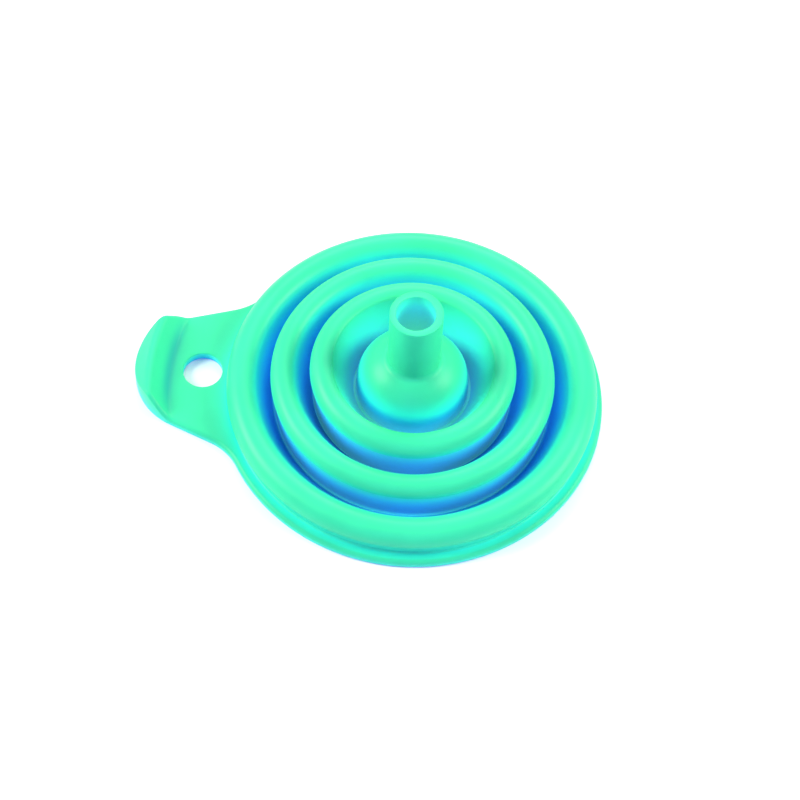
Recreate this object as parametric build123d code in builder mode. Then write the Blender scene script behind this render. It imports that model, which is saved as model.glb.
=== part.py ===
from build123d import *
from dataclasses import dataclass
from math import atan2, cos, hypot, radians, sin, sqrt, tan
import os

os.makedirs("parts", exist_ok=True)

# Collapsible silicone canning funnel, folded flat. All sizes are in millimetres.
# It lies mouth down on its rim: Z runs up the spout, the origin is the centre of the
# mouth in the rim's resting plane, and the hanging tab points along -X.
# The funnel is one moulding. Its solids are its zones: stiff rings, which keep their
# shape, and thin webs between them, which turn over when the funnel is pulled open.

# Rim and hanging tab: one flat plate round the mouth. The tab's sizes run from the rim's edge
# and from the tab's own end.
rim_radius = 40.0
rim_thickness = 2.0
rim_land = 1.5
rim_top_rounding = 0.9
rim_bottom_rounding = 0.4
tab_length = 18.2
tab_end_radius = 14.0
tab_flare_angle = 20.0
tab_root_rounding = 12.5
tab_seam_inset = 1.3
tab_seam_half_angle = 38.0
hang_hole_radius = 4.1
hang_hole_setback = 14.1

# Raised thumb lip across the end of the tab: a ridge curved about the funnel's axis. It rises
# from the tab, falls again towards the tab's end, and is rounded along its cut edges.
lip_height = 4.7
lip_width = 7.5
lip_rise_width = 3.9
lip_rounding = 1.2
lip_end_height = 1.5
lip_edge_rounding = 0.4

# Stiff rings: what they share, then each one's own sizes. Each ring nests inside the last one
# with a groove between them.
wall_thickness = 1.8
bead_ledge = 0.4
bead_end_thickness = 1.9
outer_groove = 2.55
inner_groove = 2.79

outer_bead_radius = 3.3
outer_bead_centre_height = 5.5
outer_wall_lean = 0.6
outer_crease_angle = 50.0

middle_bead_radius = 2.65
middle_bead_centre_height = 9.1
middle_wall_lean = 0.45
middle_crease_angle = 50.0
middle_foot_height = 1.5

inner_bead_radius = 2.96
inner_bead_centre_height = 11.25
inner_wall_lean = 0.45
inner_crease_angle = 55.0
inner_foot_height = 3.2

# Thin webs: the drop is their thickness measured down, and each one leans so that the groove
# narrows to its floor.
web_drop = 0.9
web_set_out = 0.63
outer_web_lean = 29.0
middle_web_lean = 26.0
valley_rounding = 0.7
bowl_curve_radius = 20.0
bowl_groove = 0.6

# Spout: a domed shoulder and a straight tube.
shoulder_radius = 11.6
shoulder_wall = 1.8
shoulder_foot_height = 5.0
shoulder_spring_height = 7.5
shoulder_curve_radius = 9.0
shoulder_rounding = 1.6
tube_radius = 5.4
bore_radius = 4.0
tip_height = 31.75


@dataclass
class Ring:
    """A stiff ring: a leaning wall on a flat foot, under a round bead."""

    outermost_radius: float
    bead_radius: float
    bead_centre_height: float
    foot_height: float
    wall_lean: float
    crease_angle: float

    @property
    def bead_centre_radius(self):
        return self.outermost_radius - self.bead_radius

    @property
    def innermost_radius(self):
        return self.outermost_radius - 2 * self.bead_radius

    @property
    def wall_top_radius(self):
        return self.outermost_radius - bead_ledge

    @property
    def foot_radius(self):
        return self.wall_top_radius - self.wall_lean

    def bead_point(self, angle):
        """A point of the bead's section, the angle measured up from its inner side."""
        return (
            self.bead_centre_radius - self.bead_radius * cos(radians(angle)),
            self.bead_centre_height + self.bead_radius * sin(radians(angle)),
        )

    @property
    def crease(self):
        return self.bead_point(self.crease_angle)


outer = Ring(
    outermost_radius=rim_radius - rim_land,
    bead_radius=outer_bead_radius,
    bead_centre_height=outer_bead_centre_height,
    foot_height=rim_thickness,
    wall_lean=outer_wall_lean,
    crease_angle=outer_crease_angle,
)
middle = Ring(
    outermost_radius=outer.innermost_radius - outer_groove,
    bead_radius=middle_bead_radius,
    bead_centre_height=middle_bead_centre_height,
    foot_height=middle_foot_height,
    wall_lean=middle_wall_lean,
    crease_angle=middle_crease_angle,
)
inner = Ring(
    outermost_radius=middle.innermost_radius - inner_groove,
    bead_radius=inner_bead_radius,
    bead_centre_height=inner_bead_centre_height,
    foot_height=inner_foot_height,
    wall_lean=inner_wall_lean,
    crease_angle=inner_crease_angle,
)
mouth_radius = outer.foot_radius - wall_thickness
tab_reach = rim_radius + tab_length
tab_end_centre = tab_reach - tab_end_radius
hang_hole_distance = tab_reach - hang_hole_setback
lip_foot_distance = tab_reach - lip_width
at_the_rim = 0.001


def behind(point, thickness=web_drop):
    """The point on the hidden side of a web, or of a bead's end, that faces this one."""
    return (point[0] + thickness * web_set_out / web_drop, point[1] - thickness)


def plate_outline():
    """The rim's disc with the tab's rounded end and its flared neck."""
    flare = radians(tab_flare_angle)
    touch = (-tab_end_centre - tab_end_radius * sin(flare), tab_end_radius * cos(flare))
    neck = (0.0, touch[1] - touch[0] * tan(flare))
    with BuildSketch() as outline:
        with Locations((-tab_end_centre, 0)):
            Circle(tab_end_radius)
        Polygon(touch, neck, (neck[0], -neck[1]), (touch[0], -touch[1]), align=None)
        Circle(rim_radius)
        roots = outline.vertices().filter_by(lambda v: abs(hypot(v.X, v.Y) - rim_radius) < at_the_rim)
        fillet(roots.filter_by(lambda v: v.X < 0 < abs(v.Y)), radius=tab_root_rounding)
    return outline.sketch


def plate():
    """The whole rim plate: rounded outside edges, the mouth and the hanging hole."""
    with BuildPart() as whole:
        add(plate_outline())
        extrude(amount=rim_thickness)
        fillet(whole.faces().sort_by(Axis.Z)[-1].edges(), radius=rim_top_rounding)
        fillet(whole.faces().sort_by(Axis.Z)[0].edges(), radius=rim_bottom_rounding)
        with BuildSketch():
            Circle(mouth_radius)
            with Locations((-hang_hole_distance, 0)):
                Circle(hang_hole_radius)
        extrude(amount=rim_thickness, mode=Mode.SUBTRACT)
    return whole.part


def tab_sector():
    """The part of the plate that belongs to the tab: everything outside the seam."""
    seam_radius = rim_radius - tab_seam_inset
    edge = tab_reach * 2
    half_width = edge * tan(radians(tab_seam_half_angle))
    with BuildPart() as sector:
        with BuildSketch():
            Polygon((0, 0), (-edge, half_width), (-edge, -half_width), align=None)
            Circle(seam_radius, mode=Mode.SUBTRACT)
        extrude(amount=rim_thickness)
    return sector.part


def wall_outline(ring):
    """A ring's wall: flat foot, flat top, and two leaning faces."""
    Polyline(
        (ring.foot_radius - wall_thickness, ring.foot_height),
        (ring.foot_radius, ring.foot_height),
        (ring.wall_top_radius, ring.bead_centre_height),
        (ring.wall_top_radius - wall_thickness, ring.bead_centre_height),
        close=True,
    )


def bead_outline(ring):
    """A ring's bead: a round from its ledge, over the crest, to the crease of its web."""
    ledge_end = ring.bead_point(180)
    wall_inside = (ring.wall_top_radius - wall_thickness, ring.bead_centre_height)
    ThreePointArc(ledge_end, ring.bead_point(90), ring.crease)
    Polyline(ring.crease, behind(ring.crease, bead_end_thickness), wall_inside, ledge_end)


def web_outline(ring, lean, next_ring):
    """A web: from a bead's crease round its inner side, down to the floor of the groove, and
    under the next ring's foot. The lean is from the vertical, in degrees. The hidden side is the
    same line moved down and out."""
    leaving = ring.bead_point(lean)
    middle_of_turn = ring.bead_point((ring.crease_angle + lean) / 2)
    run = (leaving[1] - next_ring.foot_height) * tan(radians(lean))
    corner = (leaving[0] - run, next_ring.foot_height)
    floor_end = (next_ring.foot_radius - wall_thickness, next_ring.foot_height)
    ThreePointArc(ring.crease, middle_of_turn, leaving)
    FilletPolyline(leaving, corner, floor_end, radius=valley_rounding)
    Line(floor_end, behind(floor_end))
    FilletPolyline(behind(floor_end), behind(corner), behind(leaving), radius=valley_rounding)
    ThreePointArc(behind(leaving), behind(middle_of_turn), behind(ring.crease))
    Line(behind(ring.crease), ring.crease)


# The rim and the tab are cut from one plate along the seam, so their edges run on.
with BuildPart() as rim_flange:
    add(plate())
    add(tab_sector(), mode=Mode.SUBTRACT)

with BuildPart() as hang_tab:
    add(plate())
    add(tab_sector(), mode=Mode.INTERSECT)

# The lip is the end of the tab's outline under a ridge turned about the funnel's axis. Its skirt
# fills the plate's rounded edge, so the tab's side runs straight up into the lip.
lip_slope = atan2(lip_height, lip_rise_width)
foot_run = lip_rounding * tan(lip_slope / 2)
lip_start = (-lip_foot_distance + foot_run, rim_thickness)
lip_rise_start = (
    -lip_foot_distance - foot_run * cos(lip_slope),
    rim_thickness + foot_run * sin(lip_slope),
)
lip_crest = (-lip_foot_distance - lip_rise_width, rim_thickness + lip_height)
lip_end = (-tab_reach, rim_thickness + lip_end_height)
lip_past_end = -tab_reach - lip_rounding
skirt_height = rim_thickness - rim_top_rounding

with BuildPart() as thumb_lip:
    with BuildSketch(Plane.XY.offset(skirt_height)):
        add(plate_outline())
    extrude(amount=rim_top_rounding + lip_height)
    with BuildSketch(Plane.XZ):
        with BuildLine():
            TangentArc(lip_start, lip_rise_start, tangent=(-1, 0))
            FilletPolyline(lip_rise_start, lip_crest, lip_end, radius=lip_rounding)
            Polyline(
                lip_end,
                (lip_past_end, lip_end[1]),
                (lip_past_end, skirt_height),
                (lip_start[0], skirt_height),
                lip_start,
            )
        make_face()
    revolve(axis=Axis.Z, mode=Mode.INTERSECT)
    fillet(thumb_lip.edges().filter_by(GeomType.BSPLINE), radius=lip_edge_rounding)
    add(plate(), mode=Mode.SUBTRACT)

with BuildPart() as outer_wall:
    with BuildSketch(Plane.XZ):
        with BuildLine():
            wall_outline(outer)
        make_face()
    revolve(axis=Axis.Z)

with BuildPart() as outer_bead:
    with BuildSketch(Plane.XZ):
        with BuildLine():
            bead_outline(outer)
        make_face()
    revolve(axis=Axis.Z)

with BuildPart() as outer_web:
    with BuildSketch(Plane.XZ):
        with BuildLine():
            web_outline(outer, outer_web_lean, middle)
        make_face()
    revolve(axis=Axis.Z)

with BuildPart() as middle_wall:
    with BuildSketch(Plane.XZ):
        with BuildLine():
            wall_outline(middle)
        make_face()
    revolve(axis=Axis.Z)

with BuildPart() as middle_bead:
    with BuildSketch(Plane.XZ):
        with BuildLine():
            bead_outline(middle)
        make_face()
    revolve(axis=Axis.Z)

with BuildPart() as middle_web:
    with BuildSketch(Plane.XZ):
        with BuildLine():
            web_outline(middle, middle_web_lean, inner)
        make_face()
    revolve(axis=Axis.Z)

with BuildPart() as inner_wall:
    with BuildSketch(Plane.XZ):
        with BuildLine():
            wall_outline(inner)
        make_face()
    revolve(axis=Axis.Z)

with BuildPart() as inner_bead:
    with BuildSketch(Plane.XZ):
        with BuildLine():
            bead_outline(inner)
        make_face()
    revolve(axis=Axis.Z)

# The innermost web is a hollow-curved bowl from a sharp crease down to the groove round the shoulder.
with BuildPart() as inner_web:
    groove = (shoulder_radius + bowl_groove, shoulder_foot_height)
    bowl_floor_end = (shoulder_radius - shoulder_wall, shoulder_foot_height)
    with BuildSketch(Plane.XZ):
        with BuildLine():
            RadiusArc(inner.crease, groove, bowl_curve_radius)
            Polyline(groove, bowl_floor_end, behind(bowl_floor_end), behind(groove))
            RadiusArc(behind(inner.crease), behind(groove), bowl_curve_radius)
            Line(behind(inner.crease), inner.crease)
        make_face()
    revolve(axis=Axis.Z)

# The shoulder's two faces curve about one centre line, and each rounding ends on the tube's foot.
curve_centre = (shoulder_radius - shoulder_curve_radius, shoulder_spring_height)
inner_curve_radius = shoulder_curve_radius - shoulder_wall
rounding_offset = tube_radius + shoulder_rounding - curve_centre[0]
rounding_reach = shoulder_curve_radius + shoulder_rounding
rounding_height = sqrt(rounding_reach**2 - rounding_offset**2)
tube_foot_height = curve_centre[1] + rounding_height
bore_offset = bore_radius - curve_centre[0]
entry_rounding = (rounding_height**2 + bore_offset**2 - inner_curve_radius**2) / (
    2 * (inner_curve_radius - bore_offset)
)
outer_share = shoulder_curve_radius / rounding_reach
inner_share = inner_curve_radius / (inner_curve_radius + entry_rounding)
outer_touch = (
    curve_centre[0] + rounding_offset * outer_share,
    curve_centre[1] + rounding_height * outer_share,
)
inner_touch = (
    curve_centre[0] + (bore_offset + entry_rounding) * inner_share,
    curve_centre[1] + rounding_height * inner_share,
)
inner_foot_radius = shoulder_radius - shoulder_wall

with BuildPart() as spout_shoulder:
    with BuildSketch(Plane.XZ):
        with BuildLine():
            Polyline(
                (inner_foot_radius, shoulder_spring_height),
                (inner_foot_radius, shoulder_foot_height),
                (shoulder_radius, shoulder_foot_height),
                (shoulder_radius, shoulder_spring_height),
            )
            TangentArc((shoulder_radius, shoulder_spring_height), outer_touch, tangent=(0, 1))
            TangentArc((tube_radius, tube_foot_height), outer_touch, tangent=(0, -1))
            Line((tube_radius, tube_foot_height), (bore_radius, tube_foot_height))
            TangentArc((bore_radius, tube_foot_height), inner_touch, tangent=(0, -1))
            TangentArc((inner_foot_radius, shoulder_spring_height), inner_touch, tangent=(0, 1))
        make_face()
    revolve(axis=Axis.Z)

with BuildPart() as spout_tube:
    with BuildSketch(Plane.XY.offset(tube_foot_height)):
        Circle(tube_radius)
        Circle(bore_radius, mode=Mode.SUBTRACT)
    extrude(amount=tip_height - tube_foot_height)

rim_flange.part.label = "rim_flange"
export_step(rim_flange.part, "parts/rim_flange.step")
hang_tab.part.label = "hang_tab"
export_step(hang_tab.part, "parts/hang_tab.step")
thumb_lip.part.label = "thumb_lip"
export_step(thumb_lip.part, "parts/thumb_lip.step")
outer_wall.part.label = "outer_wall"
export_step(outer_wall.part, "parts/outer_wall.step")
outer_bead.part.label = "outer_bead"
export_step(outer_bead.part, "parts/outer_bead.step")
outer_web.part.label = "outer_web"
export_step(outer_web.part, "parts/outer_web.step")
middle_wall.part.label = "middle_wall"
export_step(middle_wall.part, "parts/middle_wall.step")
middle_bead.part.label = "middle_bead"
export_step(middle_bead.part, "parts/middle_bead.step")
middle_web.part.label = "middle_web"
export_step(middle_web.part, "parts/middle_web.step")
inner_wall.part.label = "inner_wall"
export_step(inner_wall.part, "parts/inner_wall.step")
inner_bead.part.label = "inner_bead"
export_step(inner_bead.part, "parts/inner_bead.step")
inner_web.part.label = "inner_web"
export_step(inner_web.part, "parts/inner_web.step")
spout_shoulder.part.label = "spout_shoulder"
export_step(spout_shoulder.part, "parts/spout_shoulder.step")
spout_tube.part.label = "spout_tube"
export_step(spout_tube.part, "parts/spout_tube.step")

# Each web turns over, so the ring inside it rises by twice the web's own height.
print("middle ring rises", round(2 * (outer.crease[1] - middle.foot_height), 2))
print("inner ring rises", round(2 * (middle.crease[1] - inner.foot_height), 2))
print("spout rises", round(2 * (inner.crease[1] - shoulder_foot_height), 2))
print("tube foot height", round(tube_foot_height, 3))
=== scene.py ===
from math import cos, radians, sin, sqrt

import bpy
import numpy as np
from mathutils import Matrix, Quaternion, Vector


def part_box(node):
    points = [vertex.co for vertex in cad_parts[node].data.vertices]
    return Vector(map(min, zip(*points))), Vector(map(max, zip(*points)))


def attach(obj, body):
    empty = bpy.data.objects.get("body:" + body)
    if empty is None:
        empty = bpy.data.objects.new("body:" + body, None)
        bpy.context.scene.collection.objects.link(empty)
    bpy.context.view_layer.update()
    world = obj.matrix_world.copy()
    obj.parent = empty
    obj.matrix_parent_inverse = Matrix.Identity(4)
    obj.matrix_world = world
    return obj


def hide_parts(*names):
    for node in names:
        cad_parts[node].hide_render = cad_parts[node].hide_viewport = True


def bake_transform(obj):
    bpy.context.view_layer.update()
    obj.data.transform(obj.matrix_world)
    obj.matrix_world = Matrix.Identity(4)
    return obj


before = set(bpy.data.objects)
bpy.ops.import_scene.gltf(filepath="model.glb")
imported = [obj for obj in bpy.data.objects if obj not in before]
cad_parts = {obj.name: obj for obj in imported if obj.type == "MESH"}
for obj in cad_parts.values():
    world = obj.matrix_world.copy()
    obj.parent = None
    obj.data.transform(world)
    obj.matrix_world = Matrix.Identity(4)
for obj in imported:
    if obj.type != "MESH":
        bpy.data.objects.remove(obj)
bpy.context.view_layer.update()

# Silicone: the whole funnel is one moulding in a saturated turquoise, with a satin skin.
# Its colour carries painted shade: its hollows turn from turquoise to a deep blue by their
# ambient occlusion, and a painted glow stands in for light that comes through its thin walls.
MM = 0.001
OPEN_COLOUR = (0.034, 0.56, 0.28, 1.0)
SHADED_COLOUR = (0.034, 0.80, 0.62, 1.0)
DEEP_SHADE_COLOUR = (0.020, 0.30, 0.80, 1.0)
# Colour of the painted shade along the crease at the lip's foot.
CREASE_SHADE_COLOUR = (0.010, 0.22, 0.34, 1.0)
# Colour of the painted glow, painted light for light that comes through thin walls.
PAINTED_GLOW_COLOUR = (0.06, 0.42, 0.20, 1.0)
HOLLOW_REACH = 9.0 * MM
SKIN_ROUGHNESS = 0.38


def node_group(name, inputs, outputs):
    """A new shader group with named sockets, and the nodes that stand for its two ends."""
    tree = bpy.data.node_groups.new(name, "ShaderNodeTree")
    for label, kind in inputs:
        tree.interface.new_socket(label, in_out="INPUT", socket_type="NodeSocket" + kind)
    for label, kind in outputs:
        tree.interface.new_socket(label, in_out="OUTPUT", socket_type="NodeSocket" + kind)
    return tree, tree.nodes.new("NodeGroupInput"), tree.nodes.new("NodeGroupOutput")


def ramp(tree, value, low, high):
    """A node that turns a value smoothly from 0 at low to 1 at high."""
    node = tree.nodes.new("ShaderNodeMapRange")
    node.interpolation_type = "SMOOTHSTEP"
    node.inputs["From Min"].default_value = low
    node.inputs["From Max"].default_value = high
    tree.links.new(value, node.inputs["Value"])
    return node.outputs["Result"]


def colour_mix(tree, share, first, second, how="MIX"):
    """A node that mixes two colours, wholly the second one where the share is 1. Each of the three
    is a plain value or the output of another node."""
    node = tree.nodes.new("ShaderNodeMix")
    node.data_type = "RGBA"
    node.blend_type = how
    sockets = {s.identifier: s for s in node.inputs}
    for key, value in (("Factor_Float", share), ("A_Color", first), ("B_Color", second)):
        if isinstance(value, bpy.types.NodeSocket):
            tree.links.new(value, sockets[key])
        else:
            sockets[key].default_value = value
    return next(s for s in node.outputs if s.identifier == "Result_Color")


# Painted shade and light: this group colours a surface by its ambient occlusion, from the open
# turquoise through a brighter cyan in half-shaded places to a deep blue in the deepest hollows.
tint, tint_in, tint_out = node_group(
    "painted_hollow_shade",
    (
        ("Openness", "Float"),
        ("Mottle", "Float"),
        ("Open", "Color"),
        ("Shaded", "Color"),
        ("Deep", "Color"),
    ),
    (("Color", "Color"),),
)
out_of_depth = ramp(tint, tint_in.outputs["Openness"], 0.10, 0.50)
in_the_open = ramp(tint, tint_in.outputs["Openness"], 0.30, 0.90)
paler_patches = ramp(tint, tint_in.outputs["Mottle"], 0.3, 0.7)
shaded = colour_mix(tint, out_of_depth, tint_in.outputs["Deep"], tint_in.outputs["Shaded"])
body = colour_mix(tint, in_the_open, shaded, tint_in.outputs["Open"])
cloud = colour_mix(tint, paler_patches, (0.95, 0.95, 0.95, 1), (1.05, 1.05, 1.05, 1))
mottled = colour_mix(tint, 1.0, body, cloud, "MULTIPLY")
tint.links.new(mottled, tint_out.inputs["Color"])

skin, skin_in, skin_out = node_group(
    "satin_skin",
    (("Vector", "Vector"), ("Roughness", "Float")),
    (("Roughness", "Float"), ("Height", "Float"), ("Mottle", "Float")),
)
grain = skin.nodes.new("ShaderNodeTexNoise")
grain.inputs["Scale"].default_value = 2600
grain.inputs["Detail"].default_value = 3
skin.links.new(skin_in.outputs["Vector"], grain.inputs["Vector"])
handled = skin.nodes.new("ShaderNodeTexNoise")
handled.inputs["Scale"].default_value = 70
handled.inputs["Detail"].default_value = 4
skin.links.new(skin_in.outputs["Vector"], handled.inputs["Vector"])
spread = skin.nodes.new("ShaderNodeMath")
spread.operation = "MULTIPLY_ADD"
spread.inputs[1].default_value = 0.16
skin.links.new(handled.outputs["Fac"], spread.inputs[0])
skin.links.new(skin_in.outputs["Roughness"], spread.inputs[2])
skin.links.new(spread.outputs["Value"], skin_out.inputs["Roughness"])
skin.links.new(grain.outputs["Fac"], skin_out.inputs["Height"])
skin.links.new(handled.outputs["Fac"], skin_out.inputs["Mottle"])

silicone = bpy.data.materials.new("turquoise_silicone")
silicone.use_nodes = True
nodes, links = silicone.node_tree.nodes, silicone.node_tree.links
surface = nodes["Principled BSDF"]
place = nodes.new("ShaderNodeTexCoord")
# The ambient occlusion that drives the painted shade in the base colour.
hollow = nodes.new("ShaderNodeAmbientOcclusion")
hollow.samples = 16
hollow.inputs["Distance"].default_value = HOLLOW_REACH
colour = nodes.new("ShaderNodeGroup")
colour.node_tree = tint
colour.inputs["Open"].default_value = OPEN_COLOUR
colour.inputs["Shaded"].default_value = SHADED_COLOUR
colour.inputs["Deep"].default_value = DEEP_SHADE_COLOUR
satin = nodes.new("ShaderNodeGroup")
satin.node_tree = skin
satin.inputs["Roughness"].default_value = SKIN_ROUGHNESS - 0.08
bump = nodes.new("ShaderNodeBump")
bump.inputs["Strength"].default_value = 0.12
bump.inputs["Distance"].default_value = 0.02 * MM
surface.inputs["Specular IOR Level"].default_value = 0.16
# Painted light: a glow emitted by each point's stored share, standing in for light that comes
# through thin walls.
painted_glow_node = nodes.new("ShaderNodeAttribute")
painted_glow_node.attribute_name = "painted_glow"
glow = colour_mix(silicone.node_tree, painted_glow_node.outputs["Fac"], (0, 0, 0, 1), PAINTED_GLOW_COLOUR)
surface.inputs["Emission Strength"].default_value = 1.0
links.new(glow, surface.inputs["Emission Color"])
links.new(place.outputs["Object"], satin.inputs["Vector"])
links.new(satin.outputs["Height"], bump.inputs["Height"])
links.new(satin.outputs["Roughness"], surface.inputs["Roughness"])
links.new(satin.outputs["Mottle"], colour.inputs["Mottle"])
# Painted shade: a darker colour mixed in along the crease at the lip's foot.
crease_shade = nodes.new("ShaderNodeAttribute")
crease_shade.attribute_name = "crease_shade"
crease_shaded = colour_mix(
    silicone.node_tree, crease_shade.outputs["Fac"], colour.outputs["Color"], CREASE_SHADE_COLOUR
)
links.new(hollow.outputs["AO"], colour.inputs["Openness"])
links.new(crease_shaded, surface.inputs["Base Color"])
links.new(bump.outputs["Normal"], surface.inputs["Normal"])

# Rim plate: the flat rim that the funnel stands on, the hanging tab and its raised thumb lip.
# It is one flange of the moulding, rounded along its edge and round the punched hanging hole.
AROUND = 288
RIM_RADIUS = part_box("rim_flange")[1].y
RIM_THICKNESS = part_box("rim_flange")[1].z
TOP_ROUNDING = 0.9 * MM
BOTTOM_ROUNDING = 0.4 * MM
WALL_THICKNESS = 1.8 * MM
OUTER_FOOT = 37.5 * MM
TAB_REACH = -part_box("hang_tab")[0].x
TAB_END_RADIUS = 14.0 * MM
TAB_FLARE = radians(20.0)
TAB_ROOT_ROUNDING = 12.5 * MM
HOLE_DISTANCE = 44.1 * MM
HOLE_RADIUS = 4.1 * MM
HOLE_ROUNDING = 0.25 * MM
HOLE_HALF_COLUMNS = 18
HOLE_TOP_ROWS = (2, 32)
HOLE_UNDER_ROWS = (4, 34)
LIP_FOOT = 50.7 * MM
LIP_CREST = 54.6 * MM
LIP_HEIGHT = 4.7 * MM
LIP_END_HEIGHT = 1.5 * MM
LIP_ROUNDING = 1.2 * MM
LIP_EDGE_ROUNDING = 0.7 * MM
LIP_CREASE_OFFSET = 0.3 * MM
LIP_CREASE_WIDTH = 0.9 * MM
LIP_CREASE_ANGLE = radians(12.5)


def mesh_piece(name, points, faces):
    """A silicone mesh piece, smooth except where its surface turns by over 35 degrees."""
    mesh = bpy.data.meshes.new(name)
    mesh.from_pydata(points, [], faces)
    mesh.materials.append(silicone)
    mesh.shade_smooth()
    mesh.set_sharp_from_angle(angle=radians(35.0))
    piece = bpy.data.objects.new(name, mesh)
    bpy.context.scene.collection.objects.link(piece)
    return piece


def point_places(piece):
    """The places of a piece's points, one row each."""
    places = np.empty(3 * len(piece.data.vertices), np.float32)
    piece.data.vertices.foreach_get("co", places)
    return places.reshape(-1, 3)


def point_values(piece, name, values):
    """Stores one number for each point of a piece, under a name its material reads."""
    store = piece.data.attributes.new(name, "FLOAT", "POINT")
    store.data.foreach_set("value", np.asarray(values, np.float32))


def ringed(ids):
    """A grid of point numbers with its first column again at the end."""
    return np.concatenate([ids, ids[:, :1]], axis=1)


def grid_quads(ids):
    """Quads of a grid of point numbers: each joins a point to the next row and the next column."""
    return np.stack([ids[:-1, :-1], ids[1:, :-1], ids[1:, 1:], ids[:-1, 1:]], axis=-1)


def arc(centre, radius, start, end, steps):
    """Points of an arc: the centre plus the radius turned from the start angle to the end one,
    in degrees, with one more point close to each end so that neighbours shade alike."""
    share = np.concatenate([[0, 0.1], np.arange(1, steps), [steps - 0.1, steps]]) / steps
    angle = np.radians(start + (end - start) * share)
    return np.column_stack([centre[0] + radius * np.cos(angle), centre[1] + radius * np.sin(angle)])


def plate_edge(angles):
    """The plate's outline as points and outward normals at polar angles. It is walked from the
    tab's tip: end arc, flaring flank, hollow root arc, rim circle; the other half is its mirror."""
    end_centre = np.array([TAB_END_RADIUS - TAB_REACH, 0])
    flank = np.array([cos(TAB_FLARE), sin(TAB_FLARE)])
    flank_normal = np.array([-sin(TAB_FLARE), cos(TAB_FLARE)])
    start = end_centre + TAB_END_RADIUS * flank_normal + TAB_ROOT_ROUNDING * flank_normal
    reach = RIM_RADIUS + TAB_ROOT_ROUNDING
    run = -start @ flank - sqrt((start @ flank) ** 2 - start @ start + reach**2)
    root_centre = start + run * flank
    share = np.linspace(0, 1, 2001)[:, None]
    turn = np.pi + (TAB_FLARE - np.pi / 2) * share
    end_normal = np.concatenate([np.cos(turn), np.sin(turn)], axis=1)
    flank_end = root_centre - TAB_ROOT_ROUNDING * flank_normal
    flank_start = end_centre + TAB_END_RADIUS * flank_normal
    root_start = -flank_normal
    root_end = -root_centre / reach
    root_normal = root_start * (1 - share) + root_end * share
    root_normal /= np.linalg.norm(root_normal, axis=1, keepdims=True)
    rim_turn = np.arctan2(root_centre[1], root_centre[0]) * (1 - share)
    rim_normal = np.concatenate([np.cos(rim_turn), np.sin(rim_turn)], axis=1)
    edge = np.concatenate([
        end_centre + TAB_END_RADIUS * end_normal,
        flank_start + (flank_end - flank_start) * share,
        root_centre + TAB_ROOT_ROUNDING * root_normal,
        RIM_RADIUS * rim_normal,
    ])
    normal = np.concatenate([end_normal, flank_normal + 0 * end_normal, -root_normal, rim_normal])
    polar = np.pi - np.arctan2(edge[:, 1], edge[:, 0])
    from_tip = np.abs(angles - np.pi)
    side = np.where(angles > np.pi, -1.0, 1.0)
    distance = np.interp(from_tip, polar, np.linalg.norm(edge, axis=1))
    across = np.interp(from_tip, polar, normal[:, 0])
    along = np.interp(from_tip, polar, normal[:, 1]) * side
    points = distance[:, None] * np.column_stack([np.cos(angles), np.sin(angles)])
    return points, np.column_stack([across, along])


def corner_arc(before, corner, after, radius, steps=6):
    """Points of the arc of that radius that touches both lines of a corner: its centre lies on
    their bisector, and the arc runs from the first line to the second."""
    before, corner, after = (np.asarray(p, float) for p in (before, corner, after))
    first = (before - corner) / np.linalg.norm(before - corner)
    second = (after - corner) / np.linalg.norm(after - corner)
    half = np.arccos(np.clip(first @ second, -1, 1)) / 2
    bisector = (first + second) / np.linalg.norm(first + second)
    centre = corner + bisector * radius / sin(half)
    start = corner + first * radius / np.tan(half) - centre
    end = corner + second * radius / np.tan(half) - centre
    sweep = np.arctan2(start[0] * end[1] - start[1] * end[0], start @ end)
    begin = np.degrees(np.arctan2(start[1], start[0]))
    return arc(centre, radius, begin, begin + np.degrees(sweep), steps)


lip_foot, lip_crest, lip_end = (LIP_FOOT, 0), (LIP_CREST, LIP_HEIGHT), (TAB_REACH, LIP_END_HEIGHT)
lip_line = np.concatenate([
    corner_arc((0, 0), lip_foot, lip_crest, LIP_ROUNDING, 16),
    corner_arc(lip_foot, lip_crest, lip_end, LIP_ROUNDING, 24),
    [lip_end],
])


def plate_top(distance):
    """Height of the plate's top at a distance from the funnel's axis: the rim's thickness plus
    the lip's section, two slopes with rounded corners."""
    return RIM_THICKNESS + np.interp(distance, lip_line[:, 0], lip_line[:, 1])


def block_loop(ids, first_row, last_row, first_column, last_column):
    """The point numbers round a block of a grid, along each of its four sides in turn."""
    block = ids[first_row:last_row + 1, first_column:last_column + 1]
    return np.concatenate([block[:-1, 0], block[-1, :-1], block[:0:-1, -1], block[0, :0:-1]])


thirds = np.arange(3 * AROUND)
thirds = thirds[(thirds % 3 == 0) | (np.abs(thirds - 1.5 * AROUND) < 0.3125 * AROUND)]
angles = thirds * 2 * np.pi / (3 * AROUND)
edge, normal = plate_edge(angles)
outward = np.column_stack([np.cos(angles), np.sin(angles)])
share = np.concatenate([np.linspace(0, 0.64, 34, endpoint=False), np.linspace(0.64, 1, 49)])
share = share[:, None, None]


def at_height(flat, height):
    """Plan points lifted to a height."""
    lifted = np.broadcast_to(np.asarray(height)[..., None], flat.shape[:-1] + (1,))
    return np.concatenate([flat, lifted], axis=-1)


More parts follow.
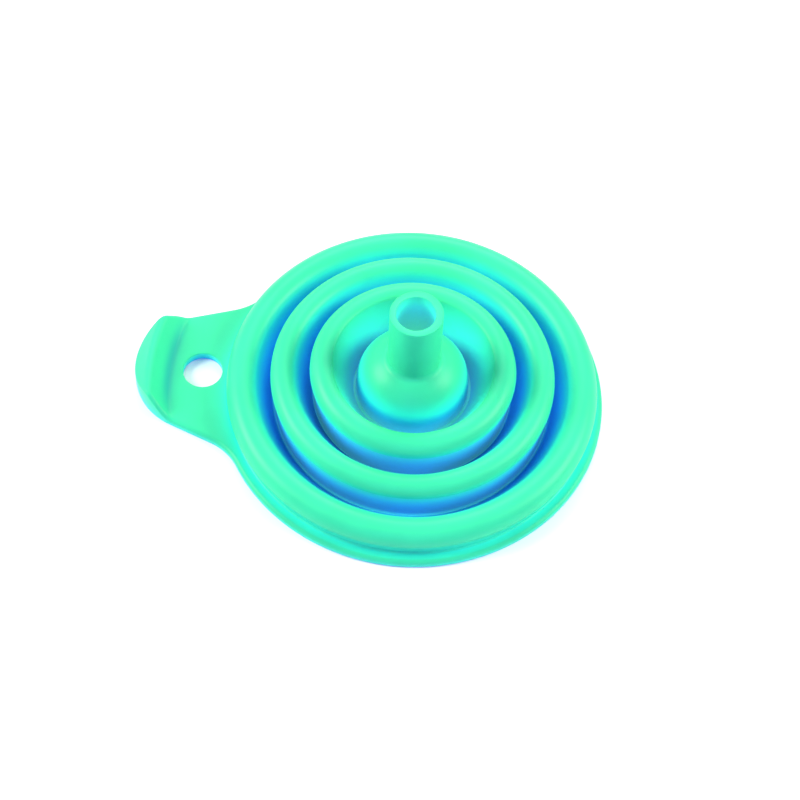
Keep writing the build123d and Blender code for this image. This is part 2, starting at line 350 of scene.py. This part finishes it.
mouth = (OUTER_FOOT - WALL_THICKNESS) * outward
foot = OUTER_FOOT * outward
under = at_height(mouth + (edge - BOTTOM_ROUNDING * normal - mouth) * share, 0.0)
slope_run = 0.3 * MM
edge_top = plate_top(np.linalg.norm(edge, axis=1))
inside_top = plate_top(np.linalg.norm(edge - slope_run * normal, axis=1))
slope = np.arctan((edge_top - inside_top) / slope_run)
lip_share = np.clip((edge_top - RIM_THICKNESS) / LIP_END_HEIGHT, 0, 1)
rounding = TOP_ROUNDING + (LIP_EDGE_ROUNDING - TOP_ROUNDING) * lip_share
last_turn = np.pi / 2 + slope
inset = edge - (rounding * (1 - np.cos(last_turn)))[:, None] * normal
inset_height = plate_top(np.linalg.norm(inset, axis=1))
top_flat = foot + (inset - foot) * share[::-1]
top = at_height(top_flat, plate_top(np.linalg.norm(top_flat, axis=-1)))
turn = np.radians(np.linspace(0, 90, 6)[1:-1])[:, None, None]
lower_edge = at_height(
    edge - BOTTOM_ROUNDING * normal * (1 - np.sin(turn)),
    BOTTOM_ROUNDING * (1 - np.cos(turn[..., 0])) + 0 * angles,
)
turn = last_turn * np.linspace(0, 1, 10)[:-1, None]
upper_edge = at_height(
    edge - (rounding * (1 - np.cos(turn)))[..., None] * normal,
    inset_height - rounding * (np.sin(last_turn) - np.sin(turn)),
)
side_foot = at_height(edge, np.full(len(angles), BOTTOM_ROUNDING))[None]
inner_top = at_height(mouth, np.full(len(angles), RIM_THICKNESS))[None]
rows = np.concatenate([under, lower_edge, side_foot, upper_edge, top, inner_top])
ids = np.arange(rows.shape[0] * rows.shape[1]).reshape(rows.shape[:2])
quads = grid_quads(ringed(ids).T)
last_row = np.stack([ids[-1], ids[0]], axis=1)[np.r_[0:len(angles), 0]]
quads = np.concatenate([quads, grid_quads(last_row)], axis=1)

# The hanging hole takes the place of a block of the plate's grid, above and below.
tip_column = int(np.argmin(np.abs(angles - np.pi)))
under_ids = ids[: len(share)].T
top_ids = ids[len(under) + len(lower_edge) + 1 + len(upper_edge):-1][::-1].T
columns = (tip_column - HOLE_HALF_COLUMNS, tip_column + HOLE_HALF_COLUMNS)
upper_loop = block_loop(top_ids, *columns, *HOLE_TOP_ROWS)
lower_loop = block_loop(under_ids, *columns, *HOLE_UNDER_ROWS)
points = rows.reshape(-1, 3)
hole_centre = np.array([-HOLE_DISTANCE, 0.0])
towards = points[upper_loop, :2] - hole_centre
towards /= np.linalg.norm(towards, axis=1, keepdims=True)
turn = np.radians(np.linspace(0, 90, 5))
mouth_radii = HOLE_RADIUS + HOLE_ROUNDING * (1 - np.sin(turn))
drop = HOLE_ROUNDING * (1 - np.cos(turn))
circles = [hole_centre + radius * towards for radius in mouth_radii]
rings = [at_height(circle, RIM_THICKNESS - down) for circle, down in zip(circles, drop)]
rings += [at_height(circle, down) for circle, down in zip(circles[::-1], drop[::-1])]
above, below = points[upper_loop], points[lower_loop]
rings = [above + (rings[0] - above) * part for part in (0.4, 0.75)] + rings
rings += [below + (rings[-1] - below) * part for part in (0.75, 0.4)]
rings = np.stack(rings)
hole_ids = len(points) + np.arange(rings.shape[0] * rings.shape[1]).reshape(rings.shape[:2])
strip = ringed(np.concatenate([upper_loop[None], hole_ids, lower_loop[None]]))
kept = np.ones(quads.shape[:2], bool)
kept[columns[0]:columns[1], HOLE_UNDER_ROWS[0]:HOLE_UNDER_ROWS[1]] = False
last_top = rows.shape[0] - 2
kept[columns[0]:columns[1], last_top - HOLE_TOP_ROWS[1]:last_top - HOLE_TOP_ROWS[0]] = False
faces = np.concatenate([quads[kept], grid_quads(strip).reshape(-1, 4)])
rim_plate = mesh_piece("rim_plate", np.concatenate([points, rings.reshape(-1, 3)]), faces.tolist())
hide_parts("rim_flange", "hang_tab", "thumb_lip")
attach(rim_plate, "rim")

# The crease at the lip's foot gets painted shade, a darker line that fades out towards the tab's
# sides.
places = point_places(rim_plate)
from_crease = np.hypot(places[:, 0], places[:, 1]) - LIP_FOOT - LIP_CREASE_OFFSET
from_tip = np.abs(np.arctan2(places[:, 1], -places[:, 0]))
on_top = places[:, 2] > 0.9 * RIM_THICKNESS
crease_line = np.exp(-((from_crease / LIP_CREASE_WIDTH) ** 2)) * on_top
fading = np.clip(1.2 - (from_tip / LIP_CREASE_ANGLE) ** 2, 0, 1)
point_values(rim_plate, "crease_shade", 0.5 * crease_line * fading)

# Outer ring: the widest stiff ring, standing up from the rim. It is a leaning wall with a thick
# round bead along its top, and the outer web leaves the bead at its crease.
BEAD_LEDGE = 0.4 * MM
LEDGE_ROUNDING = 0.2 * MM
FOOT_FILLET = 0.5 * MM
BEAD_END_THICKNESS = 1.9 * MM
WEB_SLANT = np.array([0.63, -0.9]) / 0.9


class Ring:
    """A stiff ring's sizes, read from its CAD nodes, with its wall's lean, its crease's angle and
    the share of painted glow on its wall, painted light that stands in for light coming through it."""

    def __init__(self, name, wall_lean, crease_angle, painted_glow):
        bead_low, bead_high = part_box(name + "_bead")
        wall_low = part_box(name + "_wall")[0]
        self.outermost = bead_high.x
        self.bead_radius = bead_high.z - bead_low.z
        self.bead_centre = np.array([bead_high.x - self.bead_radius, bead_low.z])
        self.foot_height = wall_low.z
        self.wall_top = self.outermost - BEAD_LEDGE
        self.foot = self.wall_top - wall_lean
        self.crease_angle = crease_angle
        self.painted_glow = painted_glow

    def bead_point(self, angle):
        """A point of the bead's section, the angle in degrees measured up from its inner side."""
        turn = radians(180 - angle)
        return self.bead_centre + self.bead_radius * np.array([cos(turn), sin(turn)])


def behind(point, thickness=0.9 * MM):
    """The hidden side's point for a visible one: moved down and out by the web's slant."""
    return np.asarray(point) + WEB_SLANT * thickness


def turned_piece(name, section, body=None):
    """A piece that is a closed section turned about Z: each point keeps its height, and its
    distance from the axis becomes a circle. The section runs anticlockwise."""
    around = np.linspace(0, 2 * np.pi, AROUND, endpoint=False)
    circle = np.column_stack([np.cos(around), np.sin(around)])
    grid = at_height(section[None, :, :1] * circle[:, None, :], section[None, :, 1])
    ids = np.arange(grid.shape[0] * grid.shape[1]).reshape(grid.shape[:2])
    quads = grid_quads(ringed(ringed(ids).T).T).reshape(-1, 4)
    piece = mesh_piece(name, grid.reshape(-1, 3), quads.tolist())
    if body:
        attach(piece, body)
    return piece


def ring_section(ring, bead_end):
    """A ring's closed section: foot, fillet into the floor, leaning wall, ledge under the bead,
    the bead's round to its crease, and the hidden inner side."""
    foot_out = np.array([ring.foot, ring.foot_height])
    wall_top = np.array([ring.wall_top, ring.bead_centre[1] - LEDGE_ROUNDING])
    ledge_end = np.array([ring.outermost, wall_top[1]])
    parts = [np.array([[ring.foot - WALL_THICKNESS, ring.foot_height]])]
    parts += [
        corner_arc(foot_out + [MM, 0], foot_out, wall_top, FOOT_FILLET),
        corner_arc(foot_out, wall_top, ledge_end, LEDGE_ROUNDING * 0.99),
        corner_arc(wall_top, ledge_end, ledge_end + [0, MM], LEDGE_ROUNDING * 0.99),
        arc(ring.bead_centre, ring.bead_radius, 0, 180 - bead_end, 48),
        behind(ring.bead_point(bead_end), BEAD_END_THICKNESS)[None],
        np.array([[ring.wall_top - WALL_THICKNESS, ring.bead_centre[1]]]),
    ]
    return np.concatenate(parts)


def ring_piece(name, body, ring, bead_end):
    """A ring's turned piece, with a painted glow on the outside of its wall below the bead, painted
    light that stands in for light coming through it.
    """
    piece = turned_piece(name, ring_section(ring, bead_end), body)
    places = point_places(piece)
    outside = np.hypot(places[:, 0], places[:, 1]) > ring.foot - 0.1 * MM
    below_bead = places[:, 2] < ring.bead_centre[1] - 0.3 * MM
    point_values(piece, "painted_glow", ring.painted_glow * (outside & below_bead))
    return piece


outer = Ring("outer", 0.6 * MM, 50.0, 0.0)
outer_ring = ring_piece("outer_ring", "rim", outer, outer.crease_angle)
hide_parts("outer_wall", "outer_bead")

# Outer web: the thin skin from the outer ring's crease down into the first groove, then under
# the middle ring's foot. It turns over when the funnel is pulled open.
OUTER_WEB_LEAN = 29.0
VALLEY_ROUNDING = 0.7 * MM
middle = Ring("middle", 0.45 * MM, 50.0, 0.24)
inner = Ring("inner", 0.45 * MM, 55.0, 0.34)


def web_top(ring, lean, next_ring):
    """A web's visible line: from the crease round the bead's inner side, down a leaning line,
    round the valley, and along the floor to the next ring's inner foot."""
    leaving = ring.bead_point(lean)
    floor = next_ring.foot_height
    corner = np.array([leaving[0] - (leaving[1] - floor) * np.tan(radians(lean)), floor])
    floor_end = np.array([next_ring.foot - WALL_THICKNESS, floor])
    return np.concatenate([
        arc(ring.bead_centre, ring.bead_radius, 180 - ring.crease_angle, 180 - lean, 20),
        corner_arc(leaving, corner, floor_end, VALLEY_ROUNDING, 16),
        floor_end[None],
    ])


def web_piece(name, line):
    """A web between two bodies: its line and the same line moved to the hidden side, turned about
    Z."""
    section = np.concatenate([line, behind(line[::-1])])
    piece = turned_piece(name, section)
    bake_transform(piece)
    places = point_places(piece)
    return piece


outer_line = web_top(outer, OUTER_WEB_LEAN, middle)
outer_web = web_piece(
    "outer_web", outer_line
)
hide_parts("outer_web")

# Middle ring: the second stiff ring. Its wall is deeper than its bead, and a small fillet joins
# its foot to the floor of the first groove.
middle_ring = ring_piece("middle_ring", "middle_ring", middle, middle.crease_angle)
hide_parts("middle_wall", "middle_bead")

# Middle web: the same thin skin again, from the middle ring's crease down into the second groove
# and under the inner ring's foot.
MIDDLE_WEB_LEAN = 26.0
middle_line = web_top(middle, MIDDLE_WEB_LEAN, inner)
middle_web = web_piece(
    "middle_web", middle_line
)
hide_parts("middle_web")

# Inner ring: the smallest stiff ring, with the highest bead. Its top runs on almost flat to the
# crease where the bowl begins.
BOWL_EDGE_ROUNDING = 1.0 * MM
BOWL_EDGE_ANGLE = 59.6
inner_ring = ring_piece("inner_ring", "inner_ring", inner, BOWL_EDGE_ANGLE)
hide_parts("inner_wall", "inner_bead")

# Inner web: the bowl round the spout. It is a hollow-curved skin from a soft-edged crease down
# to the narrow groove at the foot of the shoulder.
BOWL_RADIUS = 20.0 * MM
BOWL_GROOVE = 0.6 * MM
shoulder_low, shoulder_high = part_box("spout_shoulder")
groove = np.array([shoulder_high.x + BOWL_GROOVE, shoulder_low.z])
crease = inner.bead_point(inner.crease_angle)
chord = crease - groove
across = np.array([-chord[1], chord[0]]) / np.linalg.norm(chord)
bowl_centre = (crease + groove) / 2 + across * sqrt(BOWL_RADIUS**2 - chord @ chord / 4)
bowl_start = np.degrees(np.arctan2(*(crease - bowl_centre)[::-1]))
bowl_end = np.degrees(np.arctan2(*(groove - bowl_centre)[::-1]))
bowl = arc(bowl_centre, BOWL_RADIUS, bowl_start, bowl_end, 32)
edge_arc = corner_arc(inner.bead_point(BOWL_EDGE_ANGLE + 4), crease, bowl[4], BOWL_EDGE_ROUNDING, 8)
bowl_line = np.concatenate([
    inner.bead_point(BOWL_EDGE_ANGLE)[None],
    edge_arc,
    bowl[bowl[:, 1] < edge_arc[-1, 1] - 0.05 * MM][:-1],
    corner_arc(bowl[-4], groove, groove - [BOWL_GROOVE, 0], 0.1 * MM),
    np.array([[shoulder_high.x - 1.8 * MM, groove[1]]]),
])
inner_web = web_piece("inner_web", bowl_line)

# Painted light on the bowl: a glow standing in for light that comes through it, most of all low down
# at its front.
places = point_places(inner_web)
drop = np.clip((crease[1] - places[:, 2]) / (crease[1] - groove[1]), 0, 1)
to_front = np.clip(-places[:, 1] / np.hypot(places[:, 0], places[:, 1]), 0, 1)
point_values(inner_web, "painted_glow", 0.15 + 0.45 * drop**2 * (0.4 + 1.1 * to_front**2))
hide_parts("inner_web")

# Spout: a domed shoulder that runs up into a straight tube, cut off at its tip with a slightly
# uneven knife cut. The mould's core sat a little off centre, so the tube's wall is uneven too.
SHOULDER_WALL = 1.8 * MM
SHOULDER_SPRING = 7.5 * MM
SHOULDER_CURVE = 9.0 * MM
SHOULDER_ROUNDING = 1.6 * MM
BORE_RADIUS = 4.0 * MM
TIP_ROUNDING = 0.12 * MM
TIP_PEAK = 0.18 * MM
CORE_SHIFT = np.array([-0.15, -0.05]) * MM
tube_low, tube_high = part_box("spout_tube")
tube = tube_high.x
curve_x = shoulder_high.x - SHOULDER_CURVE
curve_centre = np.array([curve_x, SHOULDER_SPRING])
round_centre = np.array([tube + SHOULDER_ROUNDING, tube_low.z])
inner_curve = SHOULDER_CURVE - SHOULDER_WALL
bore_offset = BORE_RADIUS - curve_x
entry_rounding = ((tube_low.z - SHOULDER_SPRING) ** 2 + bore_offset**2 - inner_curve**2) / (
    2 * (inner_curve - bore_offset)
)
entry_centre = np.array([BORE_RADIUS + entry_rounding, tube_low.z])
outer_turn = np.degrees(np.arctan2(*(round_centre - curve_centre)[::-1]))
inner_turn = np.degrees(np.arctan2(*(entry_centre - curve_centre)[::-1]))
heights = np.linspace(tube_low.z, tube_high.z - TIP_ROUNDING, 26)[1:-1]
tip = tube_high.z
spout_section = np.concatenate([
    np.array([[shoulder_high.x - SHOULDER_WALL, shoulder_low.z], [shoulder_high.x, shoulder_low.z]]),
    arc(curve_centre, SHOULDER_CURVE, 0, outer_turn, 32),
    arc(round_centre, SHOULDER_ROUNDING, outer_turn - 180, -180, 12)[1:],
    np.column_stack([np.full(24, tube), heights]),
    corner_arc((tube, tip - MM), (tube, tip), (tube - MM, tip), TIP_ROUNDING, 3),
    corner_arc((tube, tip), (BORE_RADIUS, tip), (BORE_RADIUS, tip - MM), TIP_ROUNDING, 3),
    np.column_stack([np.full(24, BORE_RADIUS), heights[::-1]]),
    arc(entry_centre, entry_rounding, -180, inner_turn - 180, 14),
    arc(curve_centre, inner_curve, inner_turn, 0, 24)[1:],
])
spout = turned_piece("spout", spout_section)
points = point_places(spout)
distance = np.hypot(points[:, 0], points[:, 1])
around = np.arctan2(points[:, 1], points[:, 0])
rise = np.clip((points[:, 2] - tube_low.z) / (tip - tube_low.z), 0, 1)
in_bore = (distance < BORE_RADIUS + 2 * TIP_ROUNDING) & (points[:, 2] > tube_low.z)
points[:, :2] += (rise**2 * in_bore)[:, None] * CORE_SHIFT
peak = np.exp(-((np.angle(np.exp(1j * (around - radians(70)))) / 0.5) ** 2))
wave = 0.35 * np.sin(2 * around + 1.0) + 0.2 * np.sin(5 * around)
points[:, 2] += np.clip((rise - 0.9) / 0.1, 0, 1) ** 2 * TIP_PEAK * (peak + 0.3 * wave - 0.4)
spout.data.vertices.foreach_set("co", points.ravel())

# Painted light: a glow in the bore, standing in for light that comes through the tube's wall, and on
# the front of the dome's foot.
foot_share = np.clip(1 - (points[:, 2] - shoulder_low.z) / (4 * MM), 0, 1)
foot_share *= (distance > shoulder_high.x - MM) * np.clip(0.2 - np.sin(around), 0, 1)
point_values(spout, "painted_glow", np.where(in_bore, 0.4 + 0.6 * (1 - rise), 0.6 * foot_share))
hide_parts("spout_shoulder", "spout_tube")
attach(spout, "spout")

# Studio: a plain pale floor under the funnel, soft light from both sides and behind, and a weak
# bluish fill from the front.
FLOOR_REACH = 4.0
FLOOR_DROP = 0.02 * MM
floor_mesh = bpy.data.meshes.new("studio_floor")
corner_signs = ((-1, -1), (1, -1), (1, 1), (-1, 1))
floor_corners = [(x * FLOOR_REACH, y * FLOOR_REACH, -FLOOR_DROP) for x, y in corner_signs]
floor_mesh.from_pydata(floor_corners, [], [(0, 1, 2, 3)])
floor_material = bpy.data.materials.new("pale_floor")
floor_material.use_nodes = True
floor_surface = floor_material.node_tree.nodes["Principled BSDF"]
floor_surface.inputs["Base Color"].default_value = (0.88, 0.88, 0.88, 1)
floor_surface.inputs["Roughness"].default_value = 0.9
floor_surface.inputs["Specular IOR Level"].default_value = 0.1
floor_mesh.materials.append(floor_material)
studio_floor = bpy.data.objects.new("studio_floor", floor_mesh)
bpy.context.scene.collection.objects.link(studio_floor)


def softbox(name, place, aim, size, power, colour=(1, 1, 1)):
    """A square area lamp at a place, turned to face its aim."""
    lamp = bpy.data.lights.new(name, "AREA")
    lamp.shape = "SQUARE"
    lamp.size = size
    lamp.energy = power
    lamp.color = colour
    lamp.specular_factor = 0.6
    box = bpy.data.objects.new(name, lamp)
    box.location = place
    box.rotation_mode = "QUATERNION"
    box.rotation_quaternion = (Vector(place) - Vector(aim)).to_track_quat("Z", "Y")
    bpy.context.scene.collection.objects.link(box)


softbox("left_softbox", (-1.0, 0.0, 0.7), (0, 0, 0.01), 0.6, 21, (0.92, 1.0, 0.76))
softbox("right_softbox", (1.0, 0.1, 0.7), (0, 0, 0.01), 0.6, 17.5, (0.92, 1.0, 0.76))
softbox("back_softbox", (0.0, 1.0, 0.8), (0, 0, 0.01), 0.7, 9.5, (0.92, 1.0, 0.95))
softbox("front_fill", (0.0, -1.1, 0.75), (0, 0, 0.01), 0.7, 8.0, (0.05, 0.15, 1.0))
world = bpy.data.worlds.new("studio_light")
world.use_nodes = True
world.node_tree.nodes["Background"].inputs["Color"].default_value = (0.90, 0.78, 0.92, 1)
world.node_tree.nodes["Background"].inputs["Strength"].default_value = 0.46
bpy.context.scene.world = world
bpy.context.scene.view_settings.view_transform = "Standard"

# Camera: a long lens looking down from in front, with a slight roll.
AIM = Vector((-2.3, -0.55, 0)) * MM
AZIMUTH, ELEVATION, ROLL = radians(3.73), radians(57.74), radians(3.39)
back = Vector((sin(AZIMUTH) * cos(ELEVATION), -cos(AZIMUTH) * cos(ELEVATION), sin(ELEVATION)))
lens = bpy.data.cameras.new("camera")
lens.lens = 100.8
lens.sensor_width = 36
lens.clip_start = 0.01
camera = bpy.data.objects.new("camera", lens)
camera.location = AIM + 0.470 * back
camera.rotation_mode = "QUATERNION"
camera.rotation_quaternion = back.to_track_quat("Z", "Y") @ Quaternion((0, 0, 1), ROLL)
bpy.context.scene.collection.objects.link(camera)
bpy.context.scene.camera = camera
